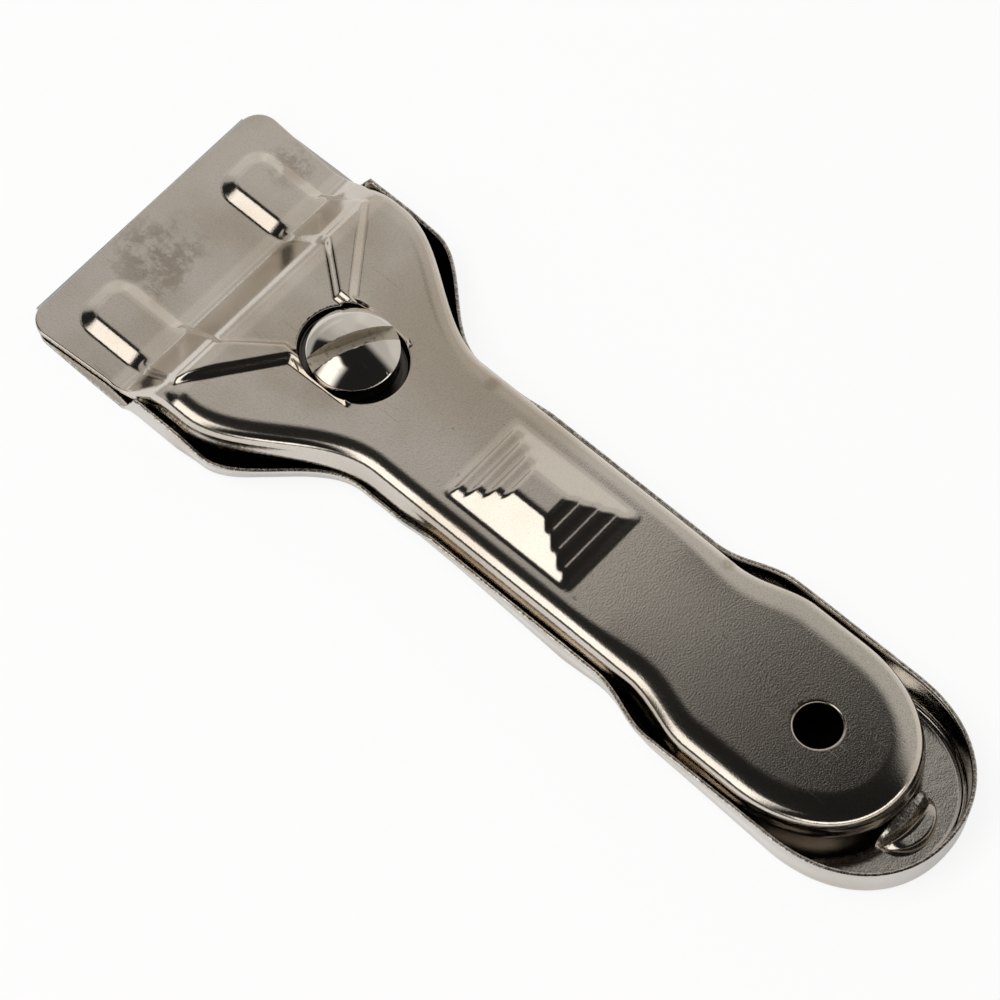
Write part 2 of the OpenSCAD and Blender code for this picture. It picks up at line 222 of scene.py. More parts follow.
def makeFloor():
    made, m = material("floor")
    camera, glossy = m.node("ShaderNodeLightPath", out=0), m.node("ShaderNodeLightPath", out=3)
    share = camera * studio["floorShare"] + glossy * studio["floorInMetal"]
    matt = m.node("ShaderNodeBsdfDiffuse", None, {"Color": studio["floorColour"]})
    white = m.node("ShaderNodeEmission", None, {"Color": studio["white"], "Strength": 1.0})
    both = m.node("ShaderNodeMixShader", None, {0: share, 1: matt, 2: white})
    m.node("ShaderNodeOutputMaterial", None, {0: both})
    mesh = bpy.data.meshes.new("floor")
    half = studio["floorHalf"]
    corners = [(-half, -half, 0), (half, -half, 0), (half, half, 0), (-half, half, 0)]
    mesh.from_pydata(corners, [], [(0, 1, 2, 3)])
    mesh.materials.append(made)
    floor = bpy.data.objects.new("floor", mesh)
    floor.location.z = -studio["floorDrop"] * mm  # just below the belly, so that the two faces don't flicker
    bpy.context.scene.collection.objects.link(floor)


def makeLamp():
    data = bpy.data.lights.new("key", "AREA")
    data.shape, data.size, data.energy = "DISK", studio["lampSize"], studio["lampPower"]
    lamp = bpy.data.objects.new("key", data)
    lamp.location = studio["lampPlace"]
    lamp.rotation_euler = (-Vector(studio["lampPlace"])).to_track_quat("-Z", "Y").to_euler()
    lamp.visible_glossy = False  # the plating mirrors the room; this lamp only lights the floor and matt parts
    bpy.context.scene.collection.objects.link(lamp)


bpy.context.scene.view_settings.view_transform = "Standard"
makeCamera()
makeWorld()
makeFloor()
makeLamp()
print("studio ready")


# plated finishes: colours, roughness, depth of the grain, its waves, and how far the film is stained
coverFinish = {
    "colour": (0.70, 0.65, 0.59), "warm": (0.55, 0.485, 0.405), "stain": (0.30, 0.235, 0.17),
    # the first colour on the next line is painted shade for the grip's upward-facing top, in place of the dark
    # room that it mirrors
    "tailShade": (0.58, 0.545, 0.49), "speck": (0.26, 0.24, 0.205),
    "roughness": 0.15, "peel": 0.55, "tailPeel": 0.5, "wave": 0.05, "stained": 0.5,
    # brown smudges on the jaw and two small marks: (place, across, size, noise from, noise to)
    "spots": [(6.6, 3.6, 9.5, 0.46, 0.60), (9.9, -17.6, 5.0, 0.44, 0.58), (52.8, -8.6, 1.5, 0.38, 0.52),
              (90.5, -9.3, 1.4, 0.38, 0.52)],
}
trayFinish = {
    "colour": (0.66, 0.63, 0.59), "warm": (0.50, 0.44, 0.38), "stain": (0.33, 0.26, 0.20),
    # the first colour on the next line is painted shade for the tray's upward-facing tail, in place of the
    # dark room that it mirrors
    "tailShade": (0.56, 0.53, 0.49), "speck": (0.46, 0.42, 0.37),
    "roughness": 0.13, "peel": 0.25, "tailPeel": 0.6, "wave": 0.9, "stained": 0.7,
    "spots": [(112.0, 0.0, 14.0, 0.42, 0.66), (30.0, 0.0, 18.0, 0.45, 0.70)],
}
# the film on both shells: noise scales per metre, and pairs that say where a change starts and is full
film = {
    "clouds": 60.0, "blots": 260.0, "stain": 420.0, "wave": 650.0,
    "peel": 4300.0, "speck": 5200.0, "grain": 6000.0,
    # the last pair on the next line picks out concave creases by their pointiness; these get painted shade
    "cloudy": (0.42, 0.75), "stains": (0.70, 0.78), "upright": (0.84, 0.97), "creaseShade": (0.492, 0.465),
    "tail": (-0.004, -0.044),
    "neckFront": (0.038, 0.028), "neckRear": (-0.006, 0.008), "neckSide": (0.004, -0.004),
    "dark": (0.50, 0.66), "bright": (0.46, 0.34), "darkShare": 0.12, "brightShare": 0.11,
    # the first share on the next line adds more dark specks to the tails' tops as painted shade
    "tailShadeSpecks": 0.20, "tailBright": 0.18, "stainShare": 0.6, "creaseShadeShare": 0.45,
    "wallGloss": 0.62, "tailGloss": 0.2,
    "grainDepth": 0.22, "markDepth": 0.12, "bump": 0.8, "depth": 0.02,
    "marks": [(33.0, 90.0, 0.56), (-58.0, 110.0, 0.60)],
}
# scratches are stretched noise; each set of them is (turn, patch scale, patch share)
scratch = {"scale": (60.0, 2600.0, 60.0), "lines": (0.68, 0.72), "patchEdge": 0.06}
# the seat's colours are painted light: a near-black shade, and light arcs that are painted reflections of the
# screw's head
seatLook = {
    "seatShade": (0.085, 0.08, 0.075), "headReflection": (0.5, 0.47, 0.43), "rings": 9000.0, "ring": (0.66, 0.72),
    "patches": 260.0, "patch": (0.50, 0.58), "grain": 1500.0, "roughness": 0.14, "bump": 0.4, "depth": 0.02,
}
shearLook = {
    "torn": (0.38, 0.35, 0.31), "tear": 2200.0, "fine": 4200.0, "tears": (0.42, 0.60), "roughness": 0.18,
    "bump": 0.8, "depth": 0.08,
}


def scratches(m, where, sets):
    # thin lines along a few directions, present only in patches
    marks = None
    for turn, scale, share in sets:
        lines = m.noise(m.stretched(where, scratch["scale"], turn), 1.0, 1.0).step(*scratch["lines"])
        lines = lines * m.noise(where, scale, 1.0).step(share, share + scratch["patchEdge"])
        marks = lines if marks is None else marks.most(lines)
    return marks


def plating(name, finish):
    made, m = material(name)
    where = m.place()
    x, y = m.split(where)[:2]
    clouds = m.noise(where, film["clouds"], 3.0)
    blots = m.noise(where, film["blots"], 8.0, 0.72)
    grain = m.noise(where, film["grain"], 1.0)
    peel = m.noise(where, film["peel"], 2.0, 0.6)
    speck = m.noise(where, film["speck"], 1.5)
    marks = scratches(m, where, film["marks"])
    upright = m.split(m.node("ShaderNodeNewGeometry", out=1))[2].step(*film["upright"])
    # painted shade in concave creases, found where the pointiness is low
    creaseShade = m.node("ShaderNodeNewGeometry", out=7).step(*film["creaseShade"])
    stain = m.noise(where, film["stain"], 4.0, 0.6).step(*film["stains"]) * film["stainShare"]
    for place, across, size, low, high in finish["spots"]:
        near = m.length(x - (noseX - place) * mm, y - across * mm).step(size * mm, size * mm * 0.2)
        stain = stain.most((blots + near * 0.1 - 0.05).step(low, high) * near * finish["stained"])
    neck = x.step(*film["neckFront"]) * x.step(*film["neckRear"]) * y.step(*film["neckSide"])
    neck = neck * (0.35 + clouds * 0.9)
    tail = x.step(*film["tail"]) * upright  # painted shade: the grip's upward-facing top is darker and has more dark specks, standing in for the dark room that it mirrors; it is also more mottled
    colour = m.mix(clouds.step(*film["cloudy"]), finish["colour"], finish["warm"])
    colour = m.mix(neck * upright, colour, finish["warm"])
    # painted shade: the tails' upward-facing tops take a darker colour
    colour = m.mix(tail, colour, finish["tailShade"])
    dark = speck.step(*film["dark"]) * (film["darkShare"] + tail * film["tailShadeSpecks"])
    bright = speck.step(*film["bright"]) * (film["brightShare"] + tail * film["tailBright"])
    colour = m.mix(dark, colour, finish["speck"])
    colour = m.mix(bright, colour, finish["colour"])
    # painted shade: concave creases are darkened toward the stain colour
    colour = m.mix(creaseShade * film["creaseShadeShare"], colour, finish["stain"])
    colour = m.mix(stain, colour, finish["stain"])
    gloss = film["wallGloss"] + upright * (1.0 - film["wallGloss"]) - tail * film["tailGloss"]
    rough = finish["roughness"] * gloss
    rough = rough + (clouds - 0.5) * 0.06 + (grain - 0.5) * 0.05 + stain * 0.15 + marks * 0.08
    height = peel * (finish["peel"] + tail * (finish["tailPeel"] - finish["peel"]))
    height = height + grain * film["grainDepth"] - marks * film["markDepth"]
    height = height + m.noise(where, film["wave"], 2.0) * finish["wave"]
    m.finish(colour, 1.0, rough, m.bump(height, film["bump"], film["depth"]))
    return made


def paintedSeatShade(name):
    # the recess under the screw's head gets painted shade: near black where its walls and floor lie in shade
    # and mirror the dark room, with light arcs as painted reflections of the head, which also scores them into
    # the bump
    made, m = material(name)
    where, look = m.place(), seatLook
    x, y = m.split(where)[:2]
    ring = m.length(x - (noseX - seat["place"]) * mm, y) * look["rings"]
    along = m.node("ShaderNodeCombineXYZ", None, {0: ring, 1: 0.0, 2: 0.0})
    reflectedArcs = m.noise(along, 1.0, 1.0).step(*look["ring"])
    reflectedArcs = reflectedArcs * m.noise(where, look["patches"], 1.0).step(*look["patch"])
    # painted shade, with the arcs as painted reflections of the head
    colour = m.mix(reflectedArcs, look["seatShade"], look["headReflection"])
    height = m.noise(where, look["grain"], 2.0) - reflectedArcs
    m.finish(colour, 1.0, look["roughness"] + reflectedArcs * 0.1, m.bump(height, look["bump"], look["depth"]))
    return made


def shearedEdge(name, finish):
    # the cut edge of the sheet: torn grain that glitters
    made, m = material(name)
    where, look = m.place(), shearLook
    tear = m.noise(where, look["tear"], 2.0)
    fine = m.noise(where, look["fine"], 1.0)
    colour = m.mix(tear.step(*look["tears"]), look["torn"], finish["colour"])
    normal = m.bump(tear + fine * 0.4, look["bump"], look["depth"])
    m.finish(colour, 1.0, look["roughness"] + fine * 0.2, normal)
    return made


# pressed shells, in mm; places are counted back from the nose
cover = {
    "front": 0.22, "jawHalf": 21.4, "headHalf": 20.75, "neckHalf": 10.75, "gripHalf": 13.1,
    "draw": 27.0, "drawLength": 23.0, "swell": 91.0, "swellLength": 11.0,
    "tail": 16.5, "end": 126.0, "blunt": 0.95,
    "jawLength": 16.3, "corner": 3.0, "jawTop": 1.85, "jawDrop": 0.3, "ramp": 7.2, "top": 8.7, "lip": 4.8,
    "shoulder": 1.7, "soft": 1.6, "softGrip": 2.9, "softTilt": 0.30, "jawRoll": 0.08, "flare": 0.35,
    "sheet": 0.75, "fold": 2.1, "pole": 112.5, "poleStart": 105.0,
    "hole": 3.0, "holeLip": 0.32, "holeTurn": 76.0,
    "neckCrown": 0.25, "neckStart": 44.0, "neckBlend": 12.0, "crownStart": 80.0, "crownBlend": 16.0,
    "crownAcross": 0.0014,
    # how finely the outline is cut: (from, to, step)
    "cuts": [(3.0, 50.0, 0.2), (50.0, 57.0, 0.5), (57.0, 80.0, 0.16), (80.0, 104.0, 0.6),
             (104.0, 110.0, 0.35)],
    "rows": 100, "softRows": 7, "bendRows": 10, "wallRows": 6, "lipRows": 6,
}
tray = {
    "front": 1.0, "jawHalf": 21.6, "headHalf": 21.8, "neckHalf": 11.6, "gripHalf": 14.15,
    "draw": 31.2, "drawLength": 17.1, "swell": 87.0, "swellLength": 10.7,
    "tail": 16.5, "end": 133.1, "blunt": 0.93,
    "jawLength": 16.3, "corner": 3.0, "belly": 1.5, "bellyShare": 0.6, "sheet": 0.75, "thinned": 0.35,
    "pole": 119.0, "poleStart": 112.0,
    # the rim's height and how far the wall leans out, each with the places where they hold
    "rimAt": [0.0, 17.5, 20.0, 27.0, 32.0, 55.0, 60.0, 87.0, 102.0, 134.0],
    "rim": [0.2, 0.2, 5.0, 5.0, 4.3, 4.3, 5.6, 5.6, 6.2, 6.2], "highRim": 5.0, "squareRim": 3.0,
    "leanAt": [16, 27, 31, 38, 52, 64, 82, 96, 106, 118, 134],
    "lean": [0.1, 0.1, 0.6, 1.2, 1.25, 1.1, 0.35, 1.25, 0.9, 0.4, 0.15],
    "stud": 14.0, "studHole": 1.6,
    "channel": 39.7, "channelLength": 15.6, "channelWidth": 10.6, "channelTop": 5.5,
    "channelRows": 6.0, "channelBend": 0.35, "climb": 0.042, "climbStart": 118.0, "climbTop": 1.5,
    "slot": 5.0, "slotRadius": 3.39,
    "cuts": [(4.0, 12.0, 0.5), (12.0, 16.0, 0.25), (16.0, 30.0, 0.5), (30.0, 49.0, 0.15), (49.0, 100.0, 0.8),
             (100.0, 118.0, 0.5)],
    "rows": 80, "bendRows": 9, "wallRows": 8,
}
ribs = {
    "height": 0.9, "span": 25.8, "width": 9.2, "front": 4.1, "corner": 3.4, "crestOut": 5.16, "crestIn": 3.7,
    "turn": 32.1, "half": 6.45, "end": 41.7, "endHalf": 6.15, "inTurn": 29.9, "inHalf": 4.1,
    "beadRun": 2.4, "run": 1.25, "innerRun": 1.2, "farInnerRun": 0.36, "rampShare": 0.6, "sideBlend": 0.8,
    # how far before and past a fold the bead and the strip blend into each other
    "beadEnd": (-0.6, 1.0), "rampFoot": (-0.2, 0.8), "rampTop": (-0.9, 0.3),
    # slope of a bead's flank from foot to crest
    "flankAt": [0.0, 0.12, 0.70, 1.0], "flank": [0.0, 1.0, 1.05, 0.0],
    "middle": [12.9, 13.1, 5.3],  # the strip's middle line at the jaw's end, at the ramp's top and at the turn
}
seat = {
    "place": 37.2, "radius": 6.02, "stretch": 3.1, "floor": 7.3, "hole": 3.3,
    # the lip as (inwards, down), the wall and floor as (inwards, above the floor, how level the sheet lies)
    "lip": [(0.05, 0.03), (0.11, 0.10), (0.16, 0.24)],
    "wall": [(0.20, 0.32, 0.0), (0.28, 0.12, 0.3), (0.45, 0.02, 0.8), (0.70, 0.0, 1.0), (1.60, 0.0, 1.0)],
}
thumb = {
    "place": 68.45, "length": 19.7, "width": 13.2, "height": 2.7, "topLength": 3.6, "topWidth": 3.8,
    "steps": 4, "frontRiser": 0.55, "rearRiser": 0.82, "round": 0.55, "topRound": 0.25, "foot": 0.35,
}
catch = {
    "face": 125.9, "radius": 4.6, "height": 3.1, "foot": 0.72, "crest": 0.20, "slope": 0.30, "apron": 0.55,
    "apronRise": 0.06, "apronFrom": 0.45, "end": 0.88, "sweep": 86.0, "square": 5, "worn": 1.5, "sheet": 0.7,
    "cutAhead": 0.1, "cutIn": 0.45, "rim": 0.05, "rows": 20, "across": 56,
}
shellRim, sharpAngle, tailSteps, cornerSteps, poleBlend = 0.09, 50, 64, 8, 12.0


def ease(t):
    t = np.clip(t, 0.0, 1.0)
    return (1.0 - np.cos(np.pi * t)) / 2.0


def smooth(t):
    t = np.clip(t, 0.0, 1.0)
    return t * t * (3.0 - 2.0 * t)


def softLeast(a, b, width):
    h = np.clip(0.5 + 0.5 * (b - a) / width, 0.0, 1.0)
    return b * (1 - h) + a * h - width * h * (1 - h)


def halfWidth(s, d):
    past = np.maximum(0.0, d - s["front"] - s["corner"])
    taper = np.maximum(0.0, 1.0 - past / (s["jawLength"] - 2 * s["corner"]))
    return (s["headHalf"] + (s["jawHalf"] - s["headHalf"]) * taper
            + (s["neckHalf"] - s["headHalf"]) * ease((d - s["draw"]) / s["drawLength"])
            + (s["gripHalf"] - s["neckHalf"]) * ease((d - s["swell"]) / s["swellLength"]))


def outline(s):
    # the +Y half of a shell's outline as (distance from the nose, y), its outward normals and centre-line feet
    places = []
    for i in range(cornerSteps + 1):  # rounded front corner
        a = math.pi / 2 * i / cornerSteps
        places.append((s["front"] + s["corner"] * (1 - math.cos(a)),
                       s["jawHalf"] - s["corner"] * (1 - math.sin(a))))
    start = s["end"] - s["tail"]
    d = np.concatenate([np.arange(a, b - step * 0.5, step) for a, b, step in s["cuts"]])
    d = d[(d > places[-1][0] + 0.05) & (d < start - 0.05)]
    places += list(zip(d, halfWidth(s, d)))
    wide = float(halfWidth(s, np.array([start]))[0])
    for a in np.linspace(0.0, math.pi / 2, tailSteps):
        places.append((start + s["tail"] * math.sin(a) ** s["blunt"],
                       wide * max(0.0, math.cos(a)) ** s["blunt"]))
    p = np.array(places)
    t = np.gradient(p, axis=0)
    t[0] = (0.0, 1.0)
    n = np.stack([-t[:, 1], t[:, 0]], axis=1)
    n /= np.linalg.norm(n, axis=1)[:, None]
    n[-1] = (1.0, 0.0)
    drawn = s["poleStart"] + (s["pole"] - s["poleStart"]) * smooth((p[:, 0] - s["poleStart"]) / poleBlend)
    return p, n, np.where(p[:, 0] < s["poleStart"], p[:, 0], drawn)


def inside(points, corners):
    # distance of points from a polygon's edge, positive inside
    a = np.array(corners, float)
    b = np.roll(a, -1, axis=0)
    best = np.full(len(points), 1e9)
    within = np.zeros(len(points), bool)
    for (ax, ay), (bx, by) in zip(a, b):
        ex, ey = bx - ax, by - ay
        px, py = points[:, 0] - ax, points[:, 1] - ay
        t = np.clip((px * ex + py * ey) / (ex * ex + ey * ey), 0.0, 1.0)
        best = np.minimum(best, np.hypot(px - t * ex, py - t * ey))
        if ay != by:
            crossing = (ay > points[:, 1]) != (by > points[:, 1])
            within ^= crossing & (points[:, 0] < (bx - ax) * (points[:, 1] - ay) / (by - ay) + ax)
    return np.where(within, best, -best)


def ribCorners():
    # bead on the jaw, strip up the ramp, and strip beside the screw
    y, w, r = ribs["span"] / 2, ribs["width"] / 2, ribs["corner"]
    arc = [math.pi / 2 * i / 8 for i in range(9)]
    corners = [(ribs["front"] + r * (1 - math.sin(a)), y - w + r * (1 - math.cos(a))) for a in arc]
    corners += [(ribs["front"] + r * (1 - math.sin(a)), y + w - r * (1 - math.cos(a))) for a in reversed(arc)]
    crest = cover["jawLength"] + cover["ramp"]
    outer = [(cover["jawLength"], y + w), (crest, y + ribs["crestOut"]), (ribs["turn"], ribs["half"])]
    end = [(ribs["end"], ribs["endHalf"]), (ribs["end"], ribs["inHalf"])]
    inner = [(ribs["inTurn"], ribs["inHalf"]), (crest, y - ribs["crestIn"]), (cover["jawLength"], y - w)]
    return corners + outer + end + inner


def ribHeight(p):
    jaw, crest = cover["jawLength"], cover["jawLength"] + cover["ramp"]
    depth = inside(np.stack([p[:, 0], np.abs(p[:, 1])], axis=1), ribCorners())
    bead = np.interp(p[:, 0] - jaw, ribs["beadEnd"], [1.0, 0.0])
    # a bead's flank is straight between a tight foot and a wide rolled edge
    u = np.linspace(0.0, 1.0, 61)
    slope = np.interp(u, ribs["flankAt"], ribs["flank"])
    flank = np.interp(depth / ribs["beadRun"], u, np.cumsum(slope) / np.sum(slope))
    low = ribs["rampShare"]
    foldsAt = [jaw + a for a in ribs["rampFoot"]] + [crest + a for a in ribs["rampTop"]]
    share = np.interp(p[:, 0], foldsAt, [1.0, low, low, 1.0])
    middle = np.interp(p[:, 0], [jaw, crest, ribs["turn"]], ribs["middle"])
    inner = np.where(p[:, 1] > 0, ribs["innerRun"], ribs["farInnerRun"])
    side = np.clip((np.abs(p[:, 1]) - middle) / ribs["sideBlend"] + 0.5, 0.0, 1.0)
    run = inner + (ribs["run"] - inner) * side
    return ribs["height"] * share * (flank * bead + smooth(depth / run) * (1 - bead))


def thumbHeight(p):
    half, top = thumb["length"] / 2, thumb["topLength"] / 2
    run = (half - top) / thumb["steps"]
    rise = thumb["height"] / thumb["steps"]
    along = (half - np.abs(p[:, 0] - thumb["place"])) / run
    riser = np.where(p[:, 0] < thumb["place"], thumb["frontRiser"], thumb["rearRiser"])
    whole = np.floor(np.clip(along, 0, thumb["steps"] - 1e-6))
    stepped = np.where(along > 0, rise * (whole + smooth((along - whole) / riser)), along)
    slope = thumb["height"] * (thumb["width"] - 2 * np.abs(p[:, 1])) / (thumb["width"] - thumb["topWidth"])
    both = softLeast(stepped, slope, thumb["round"])
    both = softLeast(both, np.full(len(p), thumb["height"]), thumb["topRound"])
    return -softLeast(-both, np.zeros(len(p)), thumb["foot"])


def rampHeight(d):
    # the flat jaw, the ramp and the flat top, with both folds rounded
    def area(t):
        return np.where(t < 0, 0.0, np.where(t < 1, t * t / 2, t - 0.5)) * cover["ramp"]

    t, h = (d - cover["jawLength"]) / cover["ramp"], cover["fold"] / cover["ramp"]
    rise = (cover["top"] - cover["jawTop"]) / (2 * cover["fold"])
    return cover["jawTop"] + rise * (area(t + h) - area(t - h))


def crown(p):
    # the top is slightly domed across, less so at the neck
    grip = smooth((p[:, 0] - cover["crownStart"]) / cover["crownBlend"])
    neck = cover["neckCrown"] * smooth((p[:, 0] - cover["neckStart"]) / cover["neckBlend"])
    return np.maximum(grip, neck) * cover["crownAcross"] * p[:, 1] ** 2


def roundField(place, radius, stretch, across=0.0):
    # a round or round-ended opening: how deep points lie in it, and where its edge is nearest to them
    def depth(p):
        x = p[:, 0] - place
        return radius - np.hypot(x - np.clip(x, -stretch / 2, stretch / 2), p[:, 1] - across)

    def toEdge(p):
        x = p[:, 0] - place
        middle = np.clip(x, -stretch / 2, stretch / 2)
        away = np.stack([x - middle, p[:, 1] - across], axis=1)
        away *= radius / (np.linalg.norm(away, axis=1)[:, None] + 1e-9)
        return np.stack([place + middle, np.full(len(p), across)], axis=1) + away

    return depth, toEdge


def halfRoundField(face, radius):
    # the same for an opening with one straight side
    def depth(p):
        return np.minimum(p[:, 0] - face, radius - np.hypot(p[:, 0] - face, p[:, 1]))

    def toEdge(p):
        away = p - (face, 0.0)
        size = np.linalg.norm(away, axis=1)[:, None] + 1e-9
        flat = np.stack([np.full(len(p), face), p[:, 1]], axis=1)
        nearFlat = (p[:, 0] - face < radius - size[:, 0])[:, None]
        return np.where(nearFlat, flat, (face, 0.0) + away * radius / size)

    return depth, toEdge


def gridQuads(index):
    corners = index[:-1, :-1], index[1:, :-1], index[1:, 1:], index[:-1, 1:]
    return np.stack([corner.ravel() for corner in corners], axis=1)


def closedQuads(count, across, weld):
    # quads over a grid of sections whose last one closes on itself at the tail's tip
    middle = across // 2
    index = np.arange(count * across).reshape(count, across)
    index[-1, :middle] = index[-1, :middle:-1]
    index[weld, middle] = index[-1, middle]
    return gridQuads(index)


def faceRings(quads):
    return [ring for ring in ([v for i, v in enumerate(q) if v != q[i - 1]] for q in quads.tolist())
            if len(set(ring)) == len(ring) >= 3]


def edgeLoops(rings):
    # closed loops of the edges that only one face uses
    ahead = {}
    used = {(a, b) for ring in rings for a, b in zip(ring, ring[1:] + ring[:1])}
    for a, b in used:
        if (b, a) not in used:
            ahead[a] = b
    loops = []
    while ahead:
        start, here = next(iter(ahead.items()))
        loop = [start]
        del ahead[start]
        while here != start and here in ahead:
            loop.append(here)
            here = ahead.pop(here)
        loops.append(loop)
    return loops


def vertexNormals(points, rings):
    normals = np.zeros_like(points)
    quads = np.array([r if len(r) == 4 else r + r[-1:] for r in rings])
    cross = np.cross(points[quads[:, 2]] - points[quads[:, 0]], points[quads[:, 3]] - points[quads[:, 1]])
    for k in range(4):
        np.add.at(normals, quads[:, k], cross)
    return normals / (np.linalg.norm(normals, axis=1)[:, None] + 1e-12)


def openUp(points, rings, field):
    # drops the faces inside an opening and moves the edge points left behind onto its line
    depth, toEdge = field
    f = depth(points[:, :2])
    f = np.where((f < 0) & (f > -0.05), 0.0, f)
    rings = [ring for ring in rings if min(f[v] for v in ring) < 0]
    used = np.zeros(len(points), bool)
    used[[v for ring in rings for v in ring]] = True
    move = used & (f >= 0)
    points[move, :2] = toEdge(points[move, :2])
    return rings, set(np.nonzero(move)[0].tolist())


def sheetMesh(name, points, offsets, rings, edge=shellRim, seatShadeFrom=None):
    # gives a surface its sheet thickness; the outline gets a sheared, slightly rounded rim (second material),
    # openings a plain one, and the faces from the given index on the third material, the painted shade of the
    # screw's seat
    world = points.copy()
    world[:, 0] = noseX - world[:, 0]
    back = offsets.copy()
    back[:, 0] *= -1
    normals = vertexNormals(world, rings)
    total = len(world)
    every, faces, slots = [world, world + back], [], []
    for k, ring in enumerate(rings):
        faces += [ring, [v + total for v in reversed(ring)]]
        slots += [2 if seatShadeFrom is not None and k >= seatShadeFrom else 0, 0]
    base = 2 * total
    loops = [np.array(loop) for loop in edgeLoops(rings)]
    longest = max(len(loop) for loop in loops)
    for loop in loops:
        n = len(loop)
        way = world[np.roll(loop, -1)] - world[np.roll(loop, 1)]
        out = np.cross(way, normals[loop])
        out /= np.linalg.norm(out, axis=1)[:, None] + 1e-12
        turn = back[loop] / (np.linalg.norm(back[loop], axis=1)[:, None] + 1e-12) * edge * 1.2
        every += [world[loop] + out * edge + turn, world[loop] + back[loop] + out * edge - turn]
        for i in range(n):
            j = (i + 1) % n
            o1, o2 = int(loop[i]), int(loop[j])
            a1, a2, b1, b2 = base + i, base + j, base + n + i, base + n + j
            faces += [[o2, o1, a1, a2], [a2, a1, b1, b2], [b2, b1, o1 + total, o2 + total]]
            slots += [1 if n == longest else 0] * 3
        base += 2 * n
    mesh = bpy.data.meshes.new(name)
    mesh.from_pydata((np.concatenate(every) * mm).tolist(), [], faces)
    mesh.polygons.foreach_set("material_index", slots)
    tidyMesh(mesh)
    return mesh


def tidyMesh(mesh, angle=sharpAngle):
    b = bmesh.new()
    b.from_mesh(mesh)
    bmesh.ops.delete(b, geom=[v for v in b.verts if not v.link_faces], context="VERTS")
    bmesh.ops.recalc_face_normals(b, faces=b.faces)
    b.to_mesh(mesh)
    b.free()
    mesh.shade_smooth()
    mesh.set_sharp_from_angle(angle=math.radians(angle))


def addPiece(name, mesh, materials, body, node):
    made = bpy.data.objects.new(name, mesh)
    for item in materials:
        mesh.materials.append(item)
    bpy.context.scene.collection.objects.link(made)
    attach(made, body)
    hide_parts(node)
    return made


def shoulderLine(soft, radius, start):
    # how the top rolls over into the wall: a long gentle start, then a tight bend; (across, down, tilt)
    slow, fast = cover["softRows"], cover["bendRows"]
    turn = max(cover["softTilt"], start + 0.02)
    gentle = start + (turn - start) * np.linspace(0, 1, slow + 1) ** 0.9
    tilts = np.concatenate([gentle, np.linspace(turn, math.pi / 2, fast + 1)[1:]])
    steps = np.concatenate([np.full(slow, soft / slow), np.full(fast, radius * (math.pi / 2 - turn) / fast)])
    middle = (tilts[1:] + tilts[:-1]) / 2
    across = np.concatenate([[0], np.cumsum(np.cos(middle) * steps)])
    down = np.concatenate([[0], np.cumsum(np.sin(middle) * steps)])
    return across, down, tilts


def mirrored(half, offsets):
    other, back = half[:, :0:-1].copy(), offsets[:, :0:-1].copy()
    other[:, :, 1] *= -1
    back[:, :, 1] *= -1
    return np.concatenate([other, half], axis=1), np.concatenate([back, offsets], axis=1)


def addRings(points, offsets, rings, loop, levels):
    # carries an opening's edge on through further rings; each level gives the places, heights and offsets
    last = list(loop)
    for flat, z, back in levels:
        ring = list(range(len(points), len(points) + len(loop)))
        points = np.concatenate([points, np.column_stack([flat, z])])
        offsets = np.concatenate([offsets, back / np.linalg.norm(back, axis=1)[:, None] * cover["sheet"]])
        for i in range(len(loop)):
            j = (i + 1) % len(loop)
            rings.append([last[j], last[i], ring[i], ring[j]])
        last = ring
    return points, offsets, rings


def inward(points, loop, place, stretch):
    # places and heights of an opening's edge, and the directions in which they lie from its middle
    start = points[loop]
    x = start[:, 0] - place
    middle = np.stack([np.clip(x, -stretch / 2, stretch / 2) + place, np.zeros(len(loop))], axis=1)
    away = start[:, :2] - middle
    return start[:, :2], start[:, 2], away / np.linalg.norm(away, axis=1)[:, None]


def addHoleLip(points, offsets, rings, loop):
    # the rounded lip of the hanging hole
    flat, z, away = inward(points, loop, cover["pole"], 0.0)
    lip, levels = cover["holeLip"], []
    for i in range(1, cover["lipRows"] + 1):
        a = math.radians(cover["holeTurn"]) * i / cover["lipRows"]
        back = np.column_stack([away * math.sin(a), np.full(len(loop), -math.cos(a))])
        levels.append((flat - away * math.sin(a) * lip, z - (1 - math.cos(a)) * lip, back))
    return addRings(points, offsets, rings, loop, levels)


def addSeat(points, offsets, rings, loop):
    # the recess under the screw's head: a rounded lip, a wall, a floor and the hole for the shank
    flat, z, away = inward(points, loop, seat["place"], seat["stretch"])
    around = flat - (seat["place"], 0.0)
    around /= np.linalg.norm(around, axis=1)[:, None]
    floor = np.full(len(loop), seat["floor"])
    lipDepth = seat["lip"][-1][1]

    def back(down):
        return np.column_stack([away * (1 - down), np.full(len(loop), -down)])

    levels = [(flat - away * a, z - b, back((1.0 - b / lipDepth) * 0.5)) for a, b in seat["lip"]]
    levels += [(flat - away * a, floor + b, back(down)) for a, b, down in seat["wall"]]
    levels.append(((seat["place"], 0.0) + around * seat["hole"], floor, back(1.0)))
    return addRings(points, offsets, rings, loop, levels)


